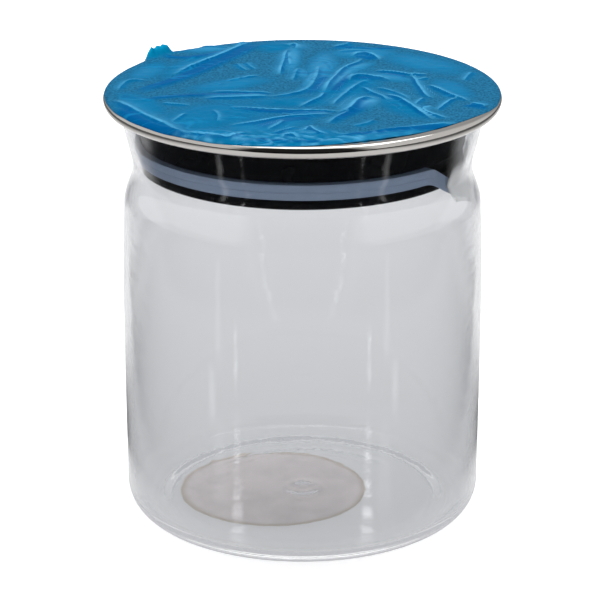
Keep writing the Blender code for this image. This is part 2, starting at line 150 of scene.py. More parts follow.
# Ridges of the film: half width, height, how strong the painted highlight along its top is (in part the film's
# stretch-whitening), and the line from above
FILM_RIDGES = (
    (0.8, 0.75, 0.8, ((-14.5, 50.5), (-18.5, 44), (-22, 36.5), (-26.5, 30), (-31, 23.5), (-36, 16))),
    (0.5, 0.35, 0.6, ((-17, 52), (-17.8, 48), (-19.6, 42.5))),
    (0.6, 0.55, 0.7, ((-4.2, 42), (-5, 36), (-5.2, 30), (-6, 24), (-6.4, 16))),
    (0.9, 0.8, 0.6, ((-4, 45.5), (-2.6, 47), (-1.4, 45), (-2, 42))),
    (0.5, 0.35, 0.5, ((-3.8, 38), (-4, 31), (-3.6, 25))),
    (0.6, 0.45, 0.5, ((-1.2, 23), (-2, 17), (-2.8, 11))),
    (0.7, 0.5, 0.6, ((4.5, 24), (4.2, 16), (3.2, 9), (2, 3), (-1, -1.5), (-6, -4.4), (-10, -5))),
    (0.7, 0.75, 0.8, ((17, 33), (16.2, 29), (12.5, 23.7), (10.4, 18.7), (8.8, 12.5), (7.1, 6.3), (5.9, -1))),
    (0.6, 0.5, 0.7, ((5.9, -1), (5.5, -4.5), (3.8, -8.8), (1, -13), (-1, -15))),
    (0.6, 0.5, 0.6, ((19, 11), (17, 9.6), (14.6, 4.6), (12.3, -1), (10.5, -6), (9, -10), (7.8, -14))),
    (0.8, 0.7, 0.8, ((14, 34.5), (15.5, 36.5), (17.5, 37), (19.5, 35.5), (22, 31.5))),
    (0.8, 0.7, 0.7, ((12.8, 9.5), (13.4, 12.5), (14.6, 14.6), (16.2, 15.8), (18.3, 14.8), (24.5, 11.3))),
    (0.6, 0.6, 0.8, ((20, 21), (23.7, 19.5), (27, 18.3), (29.8, 16.6), (35, 17.2))),
    (0.6, 0.6, 0.8, ((29.8, 16.6), (31, 12.5), (31.4, 8), (32.4, 2), (33.2, -3.4), (34.3, -5.8), (36, -6.4))),
    (0.5, 0.4, 0.6, ((31, 11), (33, 12.5), (35, 14))),
    (0.6, 0.65, 0.9, ((34.5, 7), (36, 4), (38.2, 0), (40.5, -4.3), (45, -9))),
    (0.5, 0.5, 0.9, ((42, -6), (39.2, -10), (37.6, -14.5), (35.8, -18.3))),
    (0.5, 0.4, 0.6, ((33, -6), (31.5, -9), (30.3, -13))),
    (0.6, 0.5, 0.8, ((34.8, -13.2), (32.8, -15.3), (31.9, -18), (33, -20.5), (35.5, -23.5), (38.5, -26))),
    (0.6, 0.5, 0.7, ((16.5, 4), (18.3, -0.5), (21.2, -4.2), (23, -9))),
    (0.7, 0.7, 0.9, ((22, -2), (26, -7), (28, -12), (30, -17.3), (31.8, -22), (34.5, -27))),
    (0.6, 0.4, 0.5, ((20, 4), (24.5, 0.5), (29, -7))),
    (1.2, 1.1, 0.9, (
        (19.8, -9), (17.8, -7.4), (15.8, -9), (14.3, -12.5), (13.5, -16.5), (12.4, -19.6), (9, -20.2))),
    (0.7, 0.5, 0.5, ((12.5, -20), (9.5, -25.5), (6.5, -31))),
    (0.6, 0.5, 0.7, ((-20, -16.6), (-14.6, -17.1), (-10, -17.9), (-2, -18.7), (5.5, -18.8), (11, -19.5))),
    (0.8, 0.8, 0.8, (
        (-19.5, -32.8), (-14.6, -32.4), (-10.8, -30.7), (-7, -27.7), (-3.4, -25.2), (2, -24), (8, -22))),
    (0.6, 0.4, 0.5, ((-4.5, -30), (-7, -34), (-9, -37))),
    (0.6, 0.4, 0.5, ((-1.5, -34), (-4.5, -38), (-7.5, -40))),
    (0.8, 0.6, 0.7, (
        (-30, -39.5), (-27, -42), (-23, -44), (-20, -45.2), (-17.5, -44), (-16, -41), (-14, -40))),
    (0.7, 0.5, 0.7, ((-5.5, -44.5), (-3, -41.5), (-1, -45))),
    (1.1, 0.9, 0.7, (
        (-51, -8), (-46.5, -16.6), (-43.5, -21.5), (-40.5, -26.5), (-36.5, -32), (-34, -37), (-30, -42))),
    (0.6, 0.4, 0.5, ((-34.5, -30), (-32.5, -26.5), (-31, -22))),
    (0.7, 0.6, 0.7, ((18, -38.5), (24, -36.3), (30, -34), (36, -31.8), (41, -30))),
    (0.5, 0.5, 0.8, ((2, -32), (2.3, -36), (3.8, -40), (6.2, -42.3))),
    (0.5, 0.4, 0.6, ((1.7, -33.2), (1.1, -36.5), (0.5, -39))),
    (0.8, 0.6, 0.6, ((9, 44.5), (12.5, 46.5), (13.8, 49.5))),
    (0.7, 0.4, 0.5, ((10, 39), (14, 40), (20, 39))),
    (0.6, 0.4, 0.5, ((47.5, 20), (46, 16), (44.5, 11))),
    (0.8, 0.7, 1.0, ((44.8, -12.4), (47, -13), (49, -14.6))),
    (0.7, 0.5, 0.6, ((-25, -0.4), (-18, -0.8), (-8, -1.8))),
    (0.7, 0.5, 0.6, ((-27, -6.7), (-18, -6), (-8, -4.8))),
    (0.6, 0.4, 0.5, ((-12, 16), (-15, 14.8), (-18.7, 11.3), (-21, 10))),
    (0.6, 0.4, 0.4, ((-50.5, 1), (-49.6, 6), (-48.4, 11.5), (-43, 11.3))),
    (0.6, 0.4, 0.5, ((-30, 45), (-26, 44.5), (-21, 44))),
    (0.5, 0.3, 0.4, ((-18.5, 28), (-17.5, 24), (-15.5, 21))),
    (0.5, 0.3, 0.4, ((-15.8, 29), (-15, 25), (-13, 22))),
    (0.6, 0.35, 0.4, ((-38, -11), (-35, -12.5), (-30, -13.5))),
    (0.6, 0.35, 0.4, ((-24, -19), (-22, -25), (-22.5, -30))),
    (0.6, 0.35, 0.4, ((13, -33), (17, -31), (19, -27))),
)

# Tucks, where the film lies double and looks darker: half width, height, and the line from above
FILM_TUCKS = (
    (2.9, 0.7, (
        (-11.5, 51), (-16.5, 41), (-21, 33), (-26, 24.5), (-30.5, 17.5), (-35.5, 10.5), (-41, 4), (-47, -2.5))),
    (1.5, 0.5, ((-41, 35.5), (-37, 33.4), (-32, 33), (-27.5, 34), (-23, 38), (-20.4, 42))),
    (1.9, 0.6, ((-8, -3.2), (-20, -3.6), (-31, -4.2), (-39, -6.5), (-45, -9.5))),
    (1.7, 0.5, ((6.2, 16), (5.4, 9), (3.8, 2), (1.5, -3))),
    (1.6, 0.5, ((13.5, 17), (11.6, 10), (9.8, 4), (8.2, -3))),
    (1.3, 0.4, ((14.6, 33), (17, 34.3), (20.4, 31.4))),
    (1.3, 0.4, ((14.5, 11.5), (17, 13), (20.5, 11.5))),
    (2.0, 0.5, ((18.5, -11), (16.5, -14.5), (15, -18), (11, -24), (7.5, -30))),
    (1.4, 0.5, ((-18, -18.6), (-8, -20.3), (2, -20.9), (9, -21.8))),
    (2.0, 0.5, ((-12.5, -36), (-8, -32), (-3, -28), (4, -26))),
    (2.6, 0.7, ((-49.6, -14.5), (-47, -21.5), (-43.2, -28.5), (-38.8, -35.2), (-33.5, -41.2), (-26, -46.3))),
    (1.7, 0.5, ((8, -43.3), (15, -41), (22, -38.6), (29, -36.3), (36, -34), (42, -32))),
    (1.3, 0.4, ((7, 43.2), (14, 44.2), (20, 42.3), (28, 43.4))),
    (1.4, 0.4, ((22, 17.5), (26, 15.8), (29, 13.5))),
    (1.2, 0.4, ((43, -13.5), (46.5, -14.8), (49.5, -17))),
    (1.2, 0.3, ((-18, -47), (-8, -46.4), (0, -47.6), (8, -46.6))),
)

# Blisters, where the film stands off the steel: centre, half length, half width, turn, height and how strong
# the painted light on its lit face is
FILM_BLISTERS = (
    (5.5, 24, 15, 4.2, 84, 0.7, 0.30),
    (3, 14, 14, 2.2, 78, 0.6, 0.35),
    (10, 12, 14, 2.0, 68, 0.6, 0.45),
    (14, 22, 9, 2.6, 50, 0.5, 0.35),
    (12, 5, 16, 8, 70, 0.4, 0.0),
    (-3, 33, 14, 2.6, 88, 0.5, 0.40),
    (0, 18, 6, 2.0, 100, 0.3, 0.25),
    (-20, 7, 12, 5, 30, 0.4, 0.10),
    (-30, 28, 16, 5, 58, 0.5, 0.0),
    (-43, 20, 9, 4, 70, 0.2, 0.15),
    (-27, 42, 8, 3, 10, 0.4, 0.30),
    (-24, -24, 16, 11, 40, 0.6, 0.02),
    (-22, -41, 12, 6, -20, 0.5, 0.05),
    (-2, -10, 12, 5, 5, 0.4, 0.0),
    (0, -40, 10, 6, 0, 0.5, 0.05),
    (20, -43, 16, 3, 20, 0.5, 0.15),
    (-10, -33, 14, 7, 30, 0.4, 0.10),
    (17, -13, 7, 3.0, 60, 0.9, 0.55),
    (27, -15, 12, 5, 118, 0.4, 0.0),
    (24, 14, 8, 3, 150, 0.4, 0.25),
    (41, 3, 10, 4, 110, 0.3, 0.10),
    (17, 38, 10, 5, 0, 0.4, 0.20),
    (34, 28, 14, 6, 140, 0.2, 0.12),
    (-43, -12, 12, 4, 120, 0.4, 0.0),
    (-8, 45, 6, 5, 60, 0.3, 0.0),
)

# The line along which the film's corner has torn up at the back left, from above
FILM_TEAR = ((-45.5, 29.5), (-42.5, 34.5), (-39.5, 38), (-36, 40.8), (-31, 44))

# The film's cut edge from above: turn from +X, and its radius
FILM_EDGE = (
    (0, 54.2), (60, 54.2), (180, 54.2), (245, 54.2), (262, 53.7), (270, 53.0), (276, 52.3), (282, 51.7),
    (288, 51.2), (293, 50.9), (306, 51.2), (321, 51.6), (329, 52.5), (338, 53.8), (345, 54.2), (360, 54.2),
)

# Two sets of hair creases, each a painted shade line and a painted highlight: stretch of the pattern, its turn
# in radians, how far apart in metres, how strong
HAIR_CREASES = ((0.24, 0.35, 8 * MM, 0.42), (0.30, -0.5, 6 * MM, 0.30))

# Strips of painted glow in the paper, seen only by rays that sharp glass has mirrored once, which the wall
# draws out into upright streaks as painted reflections. Each is mirrored to both sides, in metres and degrees:
# how far the two are moved apart, the place where the strip's line meets the wall, its turn, its half width,
# its start and end along its line, and its glow. Those with a glow over 1 are broken into beads
GLOWING_STRIPS = (
    (0.0, 0.0226, -0.0446, 55.5, 0.009, 0.02, 0.108, 0.38),
    (0.0, 0.0226, -0.0446, 55.5, 0.009, 0.150, 0.34, 0.60),
    (0.004, 0.0226, -0.0446, 62.5, 0.0075, 0.095, 0.165, 0.95),
    (0.0, 0.0180, -0.0466, 43.4, 0.0040, 0.122, 0.22, 3.5),
    (0.0, 0.0180, -0.0466, 43.4, 0.0050, 0.00, 0.11, 3.5),
)

# The camera's place in metres, and its small turn about +Z
EYE = (0.0, -0.7857, 0.3436)
EYE_TURN = math.radians(0.05)


def shares(text):
    """The three shares of a hex colour of the sRGB screen."""
    return tuple(int(text[i : i + 2], 16) / 255 for i in (1, 3, 5))


def linear(colour):
    """A colour of the sRGB screen, as hex text or three shares, as the linear RGBA that a shader takes."""
    if isinstance(colour, str):
        colour = shares(colour)
    return tuple(c / 12.92 if c <= 0.04045 else ((c + 0.055) / 1.055) ** 2.4 for c in colour) + (1.0,)


def scaled(colour, amount):
    """A linear colour made darker or paler."""
    return tuple(c * amount for c in colour[:3]) + (1.0,)


def colour_setting(name, description, text):
    """A colour that a user can change, with its hex default."""
    return FloatVectorProperty(name=name, description=description, subtype="COLOR_GAMMA", size=3,
                               default=shares(text), min=0.0, max=1.0)


class JarGlassSettings(bpy.types.PropertyGroup):
    """Sizes and finish of the blown jar."""

    tint: colour_setting("Tint", "Colour of the glass", "#F7F8F9")
    ripple: FloatProperty(name="Ripple", description="Depth of the waviness of the blown wall",
                          default=0.04 * MM, min=0.0, max=0.5 * MM, unit="LENGTH")
    pontil: FloatProperty(name="Pontil mark", description="Height of the scar where the iron was broken off",
                          default=0.30 * MM, min=0.0, max=1.0 * MM, unit="LENGTH")


class PackagingSettings(bpy.types.PropertyGroup):
    """Sizes and colours of the paper label and the packing strip."""

    label_radius: FloatProperty(name="Label radius", description="Radius of the round paper label",
                                default=26.5 * MM, min=5 * MM, unit="LENGTH")
    label_colour: colour_setting("Paper", "Colour of the label's face", "#FBF1EE")
    strip_colour: colour_setting("Strip", "Colour of the frosted packing strip", "#F2F4F4")


class LidSettings(bpy.types.PropertyGroup):
    """Finish of the steel cap, the plug and the seal."""

    steel: colour_setting("Steel", "Colour of the polished steel", "#C4C1BD")
    plastic: colour_setting("Plug", "Colour of the moulded plug", "#090A0D")
    silicone: colour_setting("Seal", "Colour of the silicone seal", "#7C8CA2")


class FilmSettings(bpy.types.PropertyGroup):
    """Sizes and colours of the protective film."""

    thickness: FloatProperty(name="Thickness", description="Thickness of the film", default=0.08 * MM,
                             min=0.02 * MM, unit="LENGTH")
    wrinkle: FloatProperty(name="Wrinkle", description="Height of the fine wrinkles between the folds",
                           default=0.10 * MM, min=0.0, unit="LENGTH")
    stuck: colour_setting("Stuck", "Colour where the film sticks to the steel", "#247099")
    loose: colour_setting("Loose", "Colour where the film stands off the steel", "#007CB1")
    # The double colour also paints the shade lines at the foot of each fold and beside each fine crease
    double: colour_setting("Double", "Colour where the film lies double", "#00619E")
    lifted: colour_setting("Lifted", "Colour where light falls through the raised corner", "#0DADDB")
    # Crest paints highlights on the crests, the slopes behind folds, the blisters' lit faces and the crinkles,
    # in part the film's stretch-whitening
    crest: colour_setting("Crest", "Colour of the stretched crests", "#5CB8E6")
    # The pale line beside each fine crease is a painted highlight in this colour
    hair_highlight: colour_setting("Hair creases", "Colour of the fine creases", "#1F99D1")


class StudioSettings(bpy.types.PropertyGroup):
    """The floor and the camera."""

    floor: colour_setting("Floor", "Colour of the paper floor", "#EDEDEE")
    tilt: FloatProperty(name="Tilt", description="How far the camera looks down", subtype="ANGLE",
                        default=math.radians(19.813))
    lens: FloatProperty(name="Lens", description="Focal length of the camera in millimetres", default=178.8)


def add_node(tree, kind, inputs=None, **settings):
    """Adds a shader node. Each input gets a value, an output, or the first live output of a node."""
    node = tree.nodes.new("ShaderNode" + kind)
    for name, value in settings.items():
        setattr(node, name, value)
    for socket, value in (inputs or {}).items():
        if isinstance(value, bpy.types.Node):
            value = next(output for output in value.outputs if output.enabled)
        if isinstance(value, bpy.types.NodeSocket):
            tree.links.new(value, node.inputs[socket])
        else:
            node.inputs[socket].default_value = value
    return node


def new_material(name):
    """A new material, add_node for its tree, and the object's own coordinates in it."""
    mat = bpy.data.materials.new(name)
    mat.use_nodes = True
    mat.node_tree.nodes.clear()
    add = partial(add_node, mat.node_tree)
    return mat, add, add("TexCoord").outputs["Object"]


def ease(share):
    """A share that leaves 0 and reaches 1 with no slope."""
    share = np.clip(share, 0.0, 1.0)
    return share * share * (3 - 2 * share)


def wall_slopes():
    """The bore's slope at each level: none at a waist, a belly or the foot, else nearer the gentler side's."""
    sides = [(a[1] - b[1]) / (a[0] - b[0]) for a, b in zip(WALL_LEVELS, WALL_LEVELS[1:])]
    slopes = [2 * a * b / (a + b) if a * b > 0 else 0.0 for a, b in zip(sides, sides[1:])]
    return [sides[0]] + slopes + [0.0]


def wall_at(z):
    """The jar's bore and wall thickness at a height, in millimetres."""
    slopes = wall_slopes()
    for i, (upper, lower) in enumerate(zip(WALL_LEVELS, WALL_LEVELS[1:])):
        if z >= lower[0]:
            span = upper[0] - lower[0]
            t = (z - lower[0]) / span
            share = float(ease(t))
            bend = t * (1 - t) * ((1 - t) * slopes[i + 1] - t * slopes[i]) * span
            bore = lower[1] + (upper[1] - lower[1]) * share + bend
            return bore, lower[2] + (upper[2] - lower[2]) * share
    return WALL_LEVELS[-1][1:]


def arc(centre_r, centre_z, radius, start, end, steps):
    """Points of an arc in a profile's plane, from one angle in degrees to another."""
    angles = [math.radians(start + (end - start) * i / steps) for i in range(steps + 1)]
    return [(centre_r + radius * math.cos(a), centre_z + radius * math.sin(a)) for a in angles]


def profile(points, rounds=(), closed=False, unit=MM):
    """A bmesh wire of a profile at +X. Rounds gives places of corners and the radii they are rounded to."""
    bm = bmesh.new()
    verts = [bm.verts.new((r * unit, 0.0, z * unit)) for r, z in points]
    for pair in zip(verts, verts[1:]):
        bm.edges.new(pair)
    if closed:
        bm.edges.new((verts[-1], verts[0]))
    for place, radius in rounds:
        bmesh.ops.bevel(bm, geom=[verts[place]], offset=radius * unit, segments=4, profile=0.5,
                        affect="VERTICES", material=-1)
    return bm


def spin(bm, steps=TURN_STEPS):
    """Turns a bmesh wire once round the Z axis."""
    geom = list(bm.verts) + list(bm.edges)
    bmesh.ops.spin(bm, geom=geom, axis=(0, 0, 1), cent=(0, 0, 0), angle=math.tau, steps=steps, use_merge=True)
    bmesh.ops.remove_doubles(bm, verts=bm.verts, dist=MERGE_DISTANCE)
    bmesh.ops.recalc_face_normals(bm, faces=bm.faces)
    return bm


def face_up(bm):
    """Turns an open sheet over if its faces look down."""
    if sum(face.normal.z for face in bm.faces) < 0:
        bmesh.ops.reverse_faces(bm, faces=bm.faces)


def finish_piece(name, bm, mat, body, replaced, sharp=35):
    """Makes a bmesh a piece of the scene that rides on a body and stands for a CAD node."""
    mesh = bpy.data.meshes.new(name)
    bm.to_mesh(mesh)
    bm.free()
    mesh.shade_smooth()
    mesh.set_sharp_from_angle(angle=math.radians(sharp))
    obj = bpy.data.objects.new(name, mesh)
    bpy.context.scene.collection.objects.link(obj)
    mesh.materials.append(mat)
    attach(obj, body)
    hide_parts(replaced)
    return obj


def blown_borosilicate(settings):
    """Mouth-blown borosilicate: clear, faintly grey, with slow waves that break a reflection into beads."""
    mat, add, place = new_material("blown_borosilicate")
    # One wave of the wall is about 9 mm wide and 4 mm high
    stretched = add("Mapping", {"Vector": place, "Scale": (1.0, 1.0, 2.2)})
    waves = add("TexNoise", {"Vector": stretched, "Scale": 1 / (9 * MM), "Detail": 1.5, "Roughness": 0.4})
    # The plunger left the floor smoother than the free wall
    height = add("SeparateXYZ", {"Vector": place}).outputs["Z"]
    free = add("MapRange", {"Value": height, "From Min": 4 * MM, "From Max": 14 * MM, "To Min": 0.12})
    slow = add("Bump", {"Height": waves, "Strength": free, "Distance": settings.ripple})
    # Chill marks of the mould are about 1.3 mm high and a little wider
    flat = add("Mapping", {"Vector": place, "Scale": (0.75, 0.75, 1.0)})
    chill = add("TexNoise", {"Vector": flat, "Scale": 1 / (1.3 * MM)})
    bump = add("Bump", {"Height": chill, "Strength": free, "Distance": 0.16 * settings.ripple, "Normal": slow})
    glass = add("BsdfPrincipled", {"Base Color": linear(settings.tint), "Roughness": 0.0, "IOR": 1.47,
                                   "Transmission Weight": 1.0, "Normal": bump})
    # It casts no dark shadow and lets the room's soft light straight through
    light = add("LightPath")
    unseen = add("Math", {0: light.outputs["Is Shadow Ray"], 1: light.outputs["Is Diffuse Ray"]},
                 operation="MAXIMUM")
    clear = add("BsdfTransparent", {"Color": linear("#FBFBFC")})
    both = add("MixShader", {0: unseen, 1: glass, 2: clear})
    # Light caught in the thick heel ends in a painted grey glow, standing in for the grey of the room, instead
    # of black
    caught = add("Math", {0: light.outputs["Ray Depth"], 1: 5.5}, operation="GREATER_THAN")
    grey = add("Emission", {"Color": linear("#BEBFC3")})
    add("OutputMaterial", {"Surface": add("MixShader", {0: caught, 1: both, 2: grey})})
    return mat


def label_paper(settings):
    """Uncoated label paper: dull, with soft fibres and an edge that has tanned."""
    mat, add, place = new_material("uncoated_label_paper")
    # Fibres are about 0.4 mm, clouds in the sheet about 9 mm
    fibres = add("TexNoise", {"Vector": place, "Scale": 1 / (0.4 * MM), "Detail": 3.0})
    cloudy = add("TexNoise", {"Vector": place, "Scale": 1 / (9 * MM), "Detail": 3.0, "Distortion": 0.5})
    both = add("Math", {0: fibres, 1: cloudy})
    pale = add("MapRange", {"Value": both, "From Min": 0.75, "From Max": 1.10})
    paper = linear(settings.label_colour)
    face = add("Mix", {SHARE: pale, UNDER: scaled(paper, 0.84), OVER: paper}, data_type="RGBA")
    edge = add("Attribute", attribute_name="edge").outputs["Fac"]
    tan = add("Mix", {SHARE: edge, UNDER: face, OVER: linear("#C9B9A0")}, data_type="RGBA")
    bump = add("Bump", {"Height": fibres, "Strength": 0.4, "Distance": 0.05 * MM})
    shader = add("BsdfPrincipled", {"Base Color": tan, "Roughness": 0.85, "IOR": 1.45, "Normal": bump})
    add("OutputMaterial", {"Surface": shader})
    return mat


def frosted_polyethylene(settings):
    """Frosted polyethylene sheet: milky where it hangs free, clear where it is pressed on the glass."""
    mat, add, place = new_material("frosted_polyethylene_sheet")
    # Draw lines are about 0.6 mm apart and 4 mm long
    drawn = add("Mapping", {"Vector": place, "Scale": (1.0, 1.0, 0.15)})
    lines = add("TexNoise", {"Vector": drawn, "Scale": 1 / (0.6 * MM), "Detail": 2.0})
    bump = add("Bump", {"Height": lines, "Strength": 0.5, "Distance": 0.05 * MM})
    frosted = add("BsdfPrincipled", {"Base Color": linear(settings.strip_colour), "Roughness": 0.45,
                                     "IOR": 1.5, "Normal": bump})
    clear = add("BsdfTransparent", {"Color": linear("#F2F3F3")})
    milky = add("Attribute", attribute_name="milky").outputs["Fac"]
    share = add("MapRange", {"Value": milky, "To Max": 0.70})
    add("OutputMaterial", {"Surface": add("MixShader", {0: share, 1: clear, 2: frosted})})
    return mat


def polished_steel(settings):
    """Pressed stainless steel: its rolled edge is polished bright, its flat top brushed in fine rings."""
    mat, add, place = new_material("polished_stainless_steel")
    # Polishing marks are about 0.25 mm wide and 3.5 mm long
    flat = add("Mapping", {"Vector": place, "Scale": (1.0, 1.0, 14.0)})
    marks = add("TexNoise", {"Vector": flat, "Scale": 1 / (3.5 * MM), "Detail": 4.0, "Roughness": 0.6})
    polish = add("MapRange", {"Value": marks, "To Min": 0.02, "To Max": 0.08})
    # Brushed rings are about 0.1 mm wide, drawn 0.5 mm wide so that they show
    level = add("Mapping", {"Vector": place, "Scale": (1.0, 1.0, 0.0)})
    radius = add("VectorMath", {0: level}, operation="LENGTH").outputs["Value"]
    outward = add("CombineXYZ", {"X": radius})
    rings = add("TexNoise", {"Vector": outward, "Scale": 1 / (0.5 * MM), "Detail": 3.0})
    brushed = add("MapRange", {"Value": rings, "To Min": 0.16, "To Max": 0.32})
    top = add("MapRange", {"Value": radius, "From Min": 51.5 * MM, "From Max": 50 * MM})
    rough = add("Mix", {SHARE: top, FIRST: polish, SECOND: brushed})
    relief = add("Mix", {SHARE: top, FIRST: marks, SECOND: rings})
    bump = add("Bump", {"Height": relief, "Strength": 0.5, "Distance": 0.01 * MM})
    shader = add("BsdfPrincipled", {"Base Color": linear(settings.steel), "Metallic": 1.0,
                                    "Roughness": rough, "Normal": bump})
    add("OutputMaterial", {"Surface": shader})
    return mat


def moulded_polypropylene(name, settings, rough):
    """Injection-moulded black polypropylene: even satin skin with a fine spark-eroded grain."""
    mat, add, place = new_material(name)
    # The mould's grain is about 0.3 mm, its flow marks about 12 mm
    grain = add("TexNoise", {"Vector": place, "Scale": 1 / (0.3 * MM), "Detail": 2.0})
    flow = add("TexNoise", {"Vector": place, "Scale": 1 / (12 * MM), "Detail": 2.0})
    satin = add("MapRange", {"Value": flow, "To Min": rough - 0.06, "To Max": rough + 0.06})
    bump = add("Bump", {"Height": grain, "Strength": 0.35, "Distance": 0.02 * MM})
    shader = add("BsdfPrincipled", {"Base Color": linear(settings.plastic), "Roughness": satin, "IOR": 1.49,
                                    "Specular IOR Level": 0.3, "Normal": bump})
    add("OutputMaterial", {"Surface": shader})
    return mat


def moulded_silicone(settings):
    """Moulded silicone: satin, and a little powdery where it has been wiped."""
    mat, add, place = new_material("moulded_silicone")
    # Powder lies in clouds of about 3 mm, over a grain of about 0.2 mm
    powder = add("TexNoise", {"Vector": place, "Scale": 1 / (3 * MM), "Detail": 3.0})
    grain = add("TexNoise", {"Vector": place, "Scale": 1 / (0.2 * MM)})
    base = linear(settings.silicone)
    colour = add("Mix", {SHARE: powder, UNDER: base, OVER: scaled(base, 1.15)}, data_type="RGBA")
    bump = add("Bump", {"Height": grain, "Strength": 0.3, "Distance": 0.02 * MM})
    shader = add("BsdfPrincipled", {"Base Color": colour, "Roughness": 0.55, "IOR": 1.41, "Normal": bump})
    add("OutputMaterial", {"Surface": shader})
    return mat


def fold_lines(add):
    """The painted shade line at the foot of each fold's front and the painted highlight along its top, as
    shares.
    """
    across = add("Attribute", attribute_name="beside_line").outputs["Fac"]
    amount = add("Attribute", attribute_name="highlight_line").outputs["Fac"]
    lines = []
    # Where each line fades in and where it fades out, in millimetres across a plain ridge
    for fades in (((-0.10, -0.40), (-1.9, -0.5)), ((1.3, 0.05), (-0.28, -0.05))):
        line = amount
        for start, end in fades:
            fade = add("MapRange", {"Value": across, "From Min": start, "From Max": end},
                       interpolation_type="SMOOTHSTEP")
            line = add("Math", {0: fade, 1: line}, operation="MULTIPLY")
        lines.append(line)
    return lines


def hair_creases(add, place, loose):
    """Shares of the creases that run on between the folds: a painted shade line and the painted highlight
    beside it, twice.
    """
    lines = []
    for stretch, turn, apart, amount in HAIR_CREASES:
        lain = add("Mapping", {"Vector": place, "Rotation": (0.0, 0.0, turn), "Scale": (stretch, 1.0, 1.0)})
        field = add("TexNoise", {"Vector": lain, "Scale": 1 / apart, "Detail": 0.0, "Distortion": 0.2})
        # A line runs where the noise is near a level, and is full within the second distance from it
        # The first level draws the painted shade line, the second the painted highlight
        for level, wide, full in ((0.526, 0.022, 0.004), (0.5, 0.016, 0.003)):
            off = add("Math", {0: field, 1: level}, operation="SUBTRACT")
            off = add("Math", {0: off}, operation="ABSOLUTE")
            thin = add("MapRange", {"Value": off, "From Min": wide, "From Max": full, "To Max": amount})
            lines.append(add("Math", {0: thin, 1: loose}, operation="MULTIPLY"))
    return lines


def blown_polyethylene_film(settings):
    """Blue blown polyethylene film: grainy where its glue grips, smooth and deeper where loose, with painted
    highlights and shade on its folds.
    """
    mat, add, place = new_material("blue_polyethylene_film")
    loose, double, crest, lifted = (
        add("Attribute", attribute_name=name).outputs["Fac"] for name in ("loose", "double", "crest", "lifted")
    )
    # Air trapped under the glue makes a grain of about 0.7 mm
    grain = add("TexNoise", {"Vector": place, "Scale": 1 / (0.7 * MM), "Detail": 3.0, "Roughness": 0.65})
    contrast = add("MapRange", {"Value": grain, "From Min": 0.38, "From Max": 0.60})
    stuck = linear(settings.stuck)
    colour = add("Mix", {SHARE: contrast, UNDER: scaled(stuck, 0.66), OVER: scaled(stuck, 1.28)},
                 data_type="RGBA")
    # Loose film is cloudy over about 6 mm
    cloudy = add("TexNoise", {"Vector": place, "Scale": 1 / (6 * MM), "Detail": 3.0})
    smooth = linear(settings.loose)
    smooth = add("Mix", {SHARE: cloudy, UNDER: smooth, OVER: scaled(smooth, 0.78)}, data_type="RGBA")
    # Double also serves as painted shade in the fold and crease lines; the crest and hair colours are painted
    # highlights
    double_and_shade, pale, hair_highlight = (linear(colour) for colour in (settings.double, settings.crest, settings.hair_highlight))
    painted_fold_shade, crested = fold_lines(add)
    layers = [(loose, smooth), (double, double_and_shade), (crest, pale), (painted_fold_shade, double_and_shade), (crested, pale)]
    layers += [(lifted, linear(settings.lifted))]
    layers += zip(hair_creases(add, place, loose), (double_and_shade, hair_highlight, double_and_shade, hair_highlight))
    for share, over in layers:
        colour = add("Mix", {SHARE: share, UNDER: colour, OVER: over}, data_type="RGBA")
    rough = add("MapRange", {"Value": loose, "To Min": 0.5, "To Max": 0.3})
    bump = add("Bump", {"Height": grain, "Strength": 0.6, "Distance": 0.05 * MM})
    shader = add("BsdfPrincipled", {"Base Color": colour, "Roughness": rough, "IOR": 1.5,
                                    "Specular IOR Level": 0.004, "Normal": bump})
    add("OutputMaterial", {"Surface": shader})
    return mat


def jar_outline(scar):
    """The jar's section: up the inside from the middle of its floor, over the mouth and down the outside."""
    bore, wall = WALL_LEVELS[-1][1:]
    mouth_z, mouth_bore, mouth_wall = WALL_LEVELS[0]
    # The pontil scar is a ring of 4 mm radius
    ring = [float(ease(1 - abs(i - 8) / 5)) for i in range(13)]
    points = [(0.5 * i, FLOOR_Z + scar * height) for i, height in enumerate(ring)]
    points += [(r, FLOOR_Z) for r in np.linspace(6.6, bore - INNER_HEEL - 0.5, 62)]
    points += arc(bore - INNER_HEEL, FLOOR_Z + INNER_HEEL, INNER_HEEL, 270, 360, 16)
    heights = np.linspace(FLOOR_Z + INNER_HEEL, mouth_z, 128)[1:-1]
    points += [(wall_at(z)[0], z) for z in heights]
    points += arc(mouth_bore + mouth_wall / 2, mouth_z, mouth_wall / 2, 180, 0, 12)
    points += [(sum(wall_at(z)), z) for z in reversed(heights)]
    points += arc(bore + wall - OUTER_HEEL, OUTER_HEEL, OUTER_HEEL, 0, -90, 20)
    slope = np.linspace(0.0, 1.0, 15)
    points += [(FOOT_RADIUS + (PUNT_RADIUS - FOOT_RADIUS) * t, PUNT_Z * float(ease(t))) for t in slope]
    return points + [(24, PUNT_Z), (12, PUNT_Z), (0.0, PUNT_Z)]


class JAR_OT_glass_jar(bpy.types.Operator):
    """Blows the glass jar"""

    bl_idname = "airtight_jar.glass_jar"
    bl_label = "Glass jar"

    def execute(self, context):
        settings = context.scene.jar_glass
        bm = spin(profile(jar_outline(settings.pontil / MM)))
        for vert in bm.verts:
            radius = vert.co.xy.length
            if 3 * MM < vert.co.z < 6 * MM and radius < 40 * MM:
                # A blown floor is never quite flat
                soft = noise.noise(Vector((vert.co.x, vert.co.y, 0.0)) / (9 * MM))
                vert.co.z += 0.05 * MM * soft * (1 - radius / (41.5 * MM))
                # The plunger left a faint ring, which shows at the back
                fade = float(ease((vert.co.y / radius - 0.45) / 0.4)) if radius > 0 else 0.0
                vert.co.z += 0.13 * MM * fade * math.exp(-((radius / MM - PLUNGER_RING) ** 2))
        finish_piece("blown_jar", bm, blown_borosilicate(settings), "jar", "glass_jar", 60)
        return {"FINISHED"}


